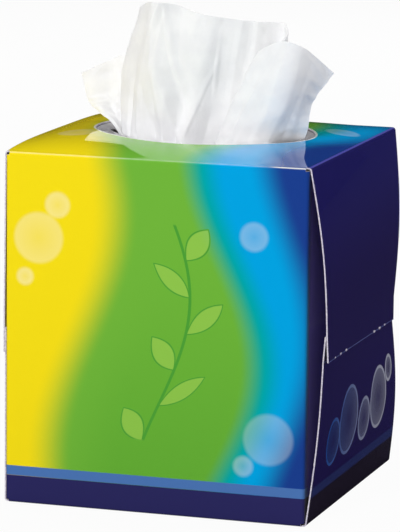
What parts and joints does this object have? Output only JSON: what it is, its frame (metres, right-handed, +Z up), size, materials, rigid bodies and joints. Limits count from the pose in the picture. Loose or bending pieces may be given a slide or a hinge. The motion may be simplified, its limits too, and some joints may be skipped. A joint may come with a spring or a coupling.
{
  "type": "tissue box",
  "caption": "Upright folding-card tissue carton with an oval opening, a slit film under it and one gathered tissue standing in the slit.",
  "frame": {"origin": "middle of the carton's underside, where it stands", "axes": "+Z up, front panel faces -Y, the glued end closures face -X and +X"},
  "size_m": [0.1196, 0.112, 0.1763],
  "materials": {
    "printed_card": "gloss varnish over a print that runs from yellow through green and cyan to navy",
    "clear_film": "thin clear film, slightly hazy",
    "tissue_paper": "soft white creped tissue, matt"
  },
  "bodies": {
    "root": {"carton": "printed_card", "film": "clear_film", "tissue_pack": "tissue_paper", "top_tissue": "tissue_paper"}
  },
  "joints": []
}
